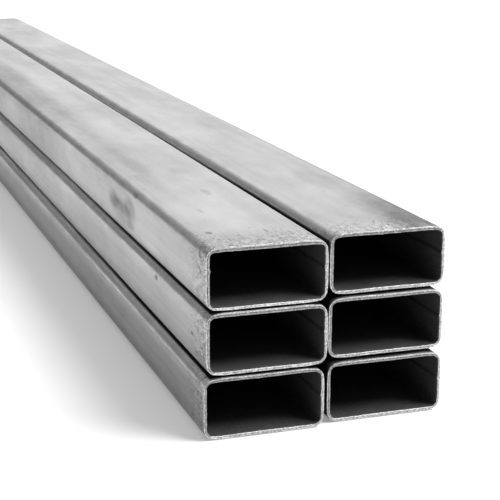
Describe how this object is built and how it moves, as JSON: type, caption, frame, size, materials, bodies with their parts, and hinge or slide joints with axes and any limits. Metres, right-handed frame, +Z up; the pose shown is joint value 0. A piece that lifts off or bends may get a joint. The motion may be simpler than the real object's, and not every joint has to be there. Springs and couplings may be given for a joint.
{
  "type": "stack of steel tubes",
  "caption": "Loose stack of rectangular hollow section steel tubes laid flat in rows, with round corners, open bores and plain sawn ends a little out of line.",
  "frame": {"origin": "on the ground at the middle of the stack's box", "axes": "+Y along the tubes towards their back ends, +X across the stack to the right as seen from the front ends, +Z up"},
  "size_m": [0.125, 1.2092, 0.0916],
  "materials": {
    "mill_steel": "bare mill finish with faint rolling streaks and smudges"
  },
  "bodies": {
    "root": {"tube_bottom_left": "mill_steel", "tube_bottom_right": "mill_steel", "tube_middle_left": "mill_steel", "tube_middle_right": "mill_steel", "tube_top_left": "mill_steel", "tube_top_right": "mill_steel"}
  },
  "joints": []
}
